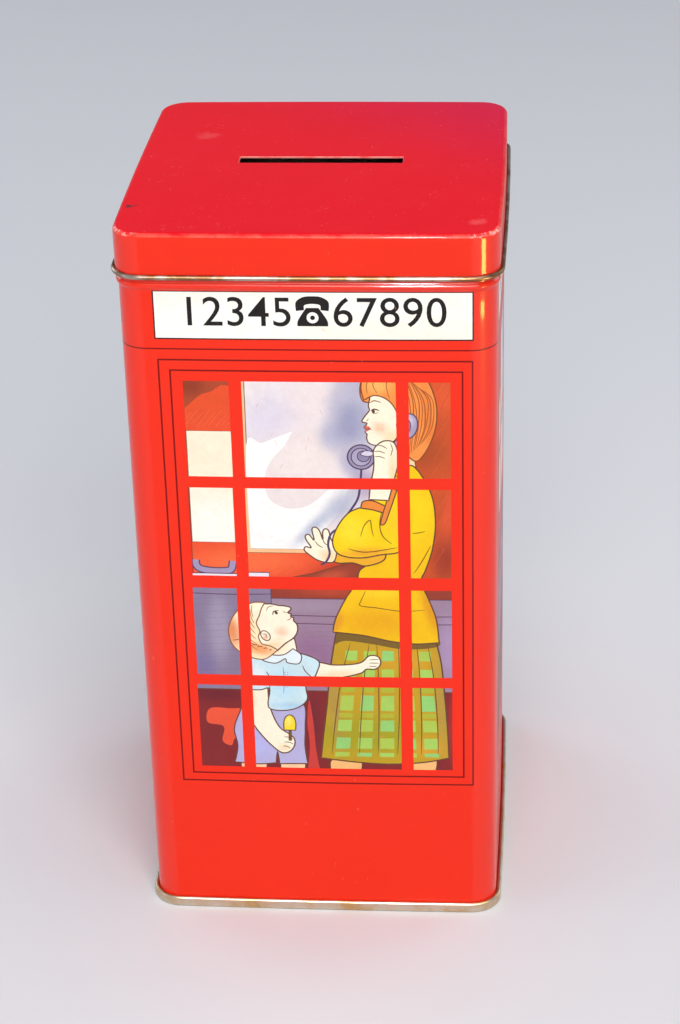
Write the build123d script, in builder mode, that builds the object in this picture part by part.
from build123d import *
from math import acos, atan2, degrees, radians, sin
import os

# Tin money box in the shape of a telephone kiosk: a tall tinplate body with a slip-on lid.
# Sizes are in millimetres. The origin is in the middle of the base, on the surface that the tin stands on,
# with +Z up and the printed front facing -Y.

# The sheet that everything is pressed and folded from.
TIN = 0.28
SEAM_GAP = 0.08  # air between the folded layers of the bottom seam

# The body's plan: an oblong with round corners, whose faces bow out a little.
WIDTH = 80.0
DEPTH = 86.5
CORNER_RADIUS = 5.8
BOW = 0.3

# Heights above the surface that the tin stands on.
TOTAL_HEIGHT = 167.5
BODY_TOP = TOTAL_HEIGHT - 0.7
SEAM_HEIGHT = 2.4

# The seam at the bottom, and the base panel that is set up inside it.
SEAM_BEND = 0.30
HOOK_OVERLAP = 1.15
PANEL_MIDDLE = 3.2
PANEL_BEND = 0.6
PANEL_STEP_OUT = -4.6
PANEL_STEP_RISE = 0.5
PANEL_STEP_BEND = 0.6

# The stop bead and the rolled top edge of the body.
BEAD_MIDDLE = TOTAL_HEIGHT - 11.7  # close under the lid's curl
BEAD_REACH = 0.5
BEAD_BEND = 0.75
RIM_BEND = 0.42
ROLL_ANGLE = 270

# The lock seam that closes the wrap, up the middle of the back.
LOCK_WIDTH = 3.4
LOCK_THICKNESS = 2 * TIN
LOCK_BOTTOM = 4.2
LOCK_TOP = BEAD_MIDDLE - 2.0
LOCK_LINE_WIDTH = 0.16
LOCK_LINE_DEPTH = 0.10

# The lid.
LID_CLEARANCE = 0.30
LID_EDGE_BEND = 0.9
CURL_BEND = 0.42
CURL_ANGLE = 285
CURL_DROP = 9.5  # from the lid's top to the middle of its curl

# The coin slot in the lid, with its edges turned down.
SLOT_LENGTH = 36.0
SLOT_WIDTH = 4.0
SLOT_BACK = 2.4  # the slot's middle lies this far behind the lid's
SLOT_LIP_DEPTH = 0.3
SLOT_LIP_ROUND = 0.15

# Flat sheets reach this far past the start of the bent edge that they are joined to.
SHEET_OVERLAP = 0.3

# The plan is worked out once. Each face is an arc, tangent to the arcs of the corners beside it.
corner_x = WIDTH / 2 - BOW - CORNER_RADIUS
corner_y = DEPTH / 2 - BOW - CORNER_RADIUS
half_spans = (corner_x, corner_y, corner_x, corner_y)
half_sizes = (DEPTH / 2, WIDTH / 2, DEPTH / 2, WIDTH / 2)
corner_centres = ((corner_x, -corner_y), (corner_x, corner_y), (-corner_x, corner_y), (-corner_x, -corner_y))
face_radii = [(span**2 + BOW * (2 * CORNER_RADIUS + BOW)) / (2 * BOW) for span in half_spans]
half_angles = [
    degrees(atan2(span, radius - CORNER_RADIUS - BOW)) for span, radius in zip(half_spans, face_radii)
]


def plan_outline(out):
    """Draw the body's outline, moved out by a distance: front, right, back and left, each with a corner."""
    for face, corner in enumerate(corner_centres):
        outward = 90 * face - 90
        half_angle = half_angles[face]
        next_half_angle = half_angles[(face + 1) % 4]
        face_centre = Vector(0, face_radii[face] - half_sizes[face]).rotate(Axis.Z, 90 * face)
        CenterArc(face_centre, face_radii[face] + out, outward - half_angle, 2 * half_angle)
        CenterArc(corner, CORNER_RADIUS + out, outward + half_angle, 90 - half_angle - next_half_angle)


def step_angle(rise, bend):
    """The angle of each of two opposite bends that together move a sheet sideways by a rise."""
    return degrees(acos(1 - rise / (2 * bend)))


# The folded sections are drawn once and swept round the plan. On their plane, X is the distance out from
# the body's outer face and Y is the height.
with BuildLine() as plan:
    plan_outline(0)
hoop = plan.wire()
along = hoop % 0
section = Plane(origin=hoop @ 0, x_dir=(along.Y, -along.X, 0), z_dir=-along)

# The layers of the bottom seam, as distances out to the middle of each sheet.
layer = TIN + SEAM_GAP
wall_out = -TIN / 2
chuck_out = wall_out - layer
cover_hook_out = wall_out + layer
body_hook_out = wall_out + 2 * layer
seam_wall_out = wall_out + 3 * layer
body_turn_height = TIN + SEAM_GAP + TIN / 2 + layer
cover_turn_height = SEAM_HEIGHT - TIN / 2 - layer

# Body: one sheet, hooked out at the bottom, beaded below the lid and rolled in along its top edge.
bead_angle = step_angle(BEAD_REACH, BEAD_BEND)
bead_half_height = 2 * BEAD_BEND * sin(radians(bead_angle))
with BuildPart() as body_shell:
    with BuildSketch(section):
        with BuildLine():
            hook = Line((body_hook_out, body_turn_height + HOOK_OVERLAP), (body_hook_out, body_turn_height))
            turn = JernArc(hook @ 1, (0, -1), layer, -180)
            lower_wall = Line(turn @ 1, (wall_out, BEAD_MIDDLE - bead_half_height))
            bead_start = JernArc(lower_wall @ 1, (0, 1), BEAD_BEND, -bead_angle)
            bead_crown = JernArc(bead_start @ 1, bead_start % 1, BEAD_BEND, 2 * bead_angle)
            bead_end = JernArc(bead_crown @ 1, bead_crown % 1, BEAD_BEND, -bead_angle)
            neck = Line(bead_end @ 1, (wall_out, BODY_TOP - TIN / 2 - RIM_BEND))
            JernArc(neck @ 1, (0, 1), RIM_BEND, ROLL_ANGLE)
        trace(line_width=TIN)
    sweep(path=hoop)
    with BuildSketch(Plane.XY.offset(LOCK_BOTTOM)):
        with Locations((0, DEPTH / 2 - TIN)):
            Rectangle(LOCK_WIDTH, 2 * LOCK_THICKNESS)
        with Locations((0, DEPTH / 2 - TIN / 2)):
            Rectangle(LOCK_WIDTH, 4 * LOCK_THICKNESS, align=(Align.CENTER, Align.MIN), mode=Mode.SUBTRACT)
    extrude(amount=LOCK_TOP - LOCK_BOTTOM)
    with BuildSketch(Plane.XY.offset(SEAM_HEIGHT)):
        with Locations((LOCK_WIDTH / 2, DEPTH / 2)):
            Rectangle(LOCK_LINE_WIDTH, 2 * LOCK_LINE_DEPTH)
    extrude(amount=LOCK_TOP - SEAM_HEIGHT, mode=Mode.SUBTRACT)
body_shell.part.label = "body_shell"

# Base: a panel set up inside the body, whose edge is wrapped round the body's hook in a double seam.
panel_step_angle = step_angle(PANEL_STEP_RISE, PANEL_STEP_BEND)
panel_inner_out = PANEL_STEP_OUT - 2 * SHEET_OVERLAP
with BuildPart() as base_end:
    with BuildSketch(section):
        with BuildLine():
            raised = Line(
                (panel_inner_out, PANEL_MIDDLE + PANEL_STEP_RISE),
                (PANEL_STEP_OUT, PANEL_MIDDLE + PANEL_STEP_RISE),
            )
            step_down = JernArc(raised @ 1, (1, 0), PANEL_STEP_BEND, -panel_step_angle)
            step_foot = JernArc(step_down @ 1, step_down % 1, PANEL_STEP_BEND, panel_step_angle)
            border = Line(step_foot @ 1, (chuck_out - PANEL_BEND, PANEL_MIDDLE))
            panel_turn = JernArc(border @ 1, (1, 0), PANEL_BEND, -90)
            chuck_wall = Line(panel_turn @ 1, (chuck_out, TIN / 2 + SEAM_BEND))
            inner_turn = JernArc(chuck_wall @ 1, (0, -1), SEAM_BEND, 90)
            foot = Line(inner_turn @ 1, (seam_wall_out - SEAM_BEND, TIN / 2))
            outer_turn = JernArc(foot @ 1, (1, 0), SEAM_BEND, 90)
            seam_wall = Line(outer_turn @ 1, (seam_wall_out, cover_turn_height))
            cover_turn = JernArc(seam_wall @ 1, (0, 1), layer, 180)
            Line(cover_turn @ 1, (cover_hook_out, cover_turn_height - HOOK_OVERLAP))
        trace(line_width=TIN)
    sweep(path=hoop)
    with BuildSketch(Plane.XY.offset(PANEL_MIDDLE + PANEL_STEP_RISE - TIN / 2)):
        with BuildLine():
            plan_outline(panel_inner_out + SHEET_OVERLAP)
        make_face()
    extrude(amount=TIN)
base_end.part.label = "base_end"

# Lid: a shallow drawn cap whose raw edge is curled outwards, with the coin slot pressed through its top.
skirt_out = LID_CLEARANCE + TIN / 2
lid_sheet_middle = TOTAL_HEIGHT - TIN / 2
lid_inner_out = skirt_out - LID_EDGE_BEND - 2 * SHEET_OVERLAP
with BuildPart() as lid:
    with BuildSketch(section):
        with BuildLine():
            rim = Line((lid_inner_out, lid_sheet_middle), (skirt_out - LID_EDGE_BEND, lid_sheet_middle))
            edge = JernArc(rim @ 1, (1, 0), LID_EDGE_BEND, -90)
            skirt = Line(edge @ 1, (skirt_out, TOTAL_HEIGHT - CURL_DROP))
            JernArc(skirt @ 1, (0, -1), CURL_BEND, CURL_ANGLE)
        trace(line_width=TIN)
    sweep(path=hoop)
    with BuildSketch(Plane.XY.offset(TOTAL_HEIGHT - TIN)):
        with BuildLine():
            plan_outline(lid_inner_out + SHEET_OVERLAP)
        make_face()
    extrude(amount=TIN)
    with BuildSketch(Plane.XY.offset(TOTAL_HEIGHT - TIN / 2)):
        with Locations((0, SLOT_BACK)):
            Rectangle(SLOT_LENGTH + 2 * TIN, SLOT_WIDTH + 2 * TIN)
    extrude(amount=-SLOT_LIP_DEPTH)
    with BuildSketch(Plane.XY.offset(TOTAL_HEIGHT)):
        with Locations((0, SLOT_BACK)):
            Rectangle(SLOT_LENGTH, SLOT_WIDTH)
    extrude(amount=-2 * SLOT_LIP_DEPTH, mode=Mode.SUBTRACT)
    fillet(lid.edges().filter_by(GeomType.LINE).group_by(Axis.Z)[-1], radius=SLOT_LIP_ROUND)
lid.part.label = "lid"

os.makedirs("parts", exist_ok=True)
export_step(body_shell.part, "parts/body_shell.step")
export_step(base_end.part, "parts/base_end.step")
export_step(lid.part, "parts/lid.step")
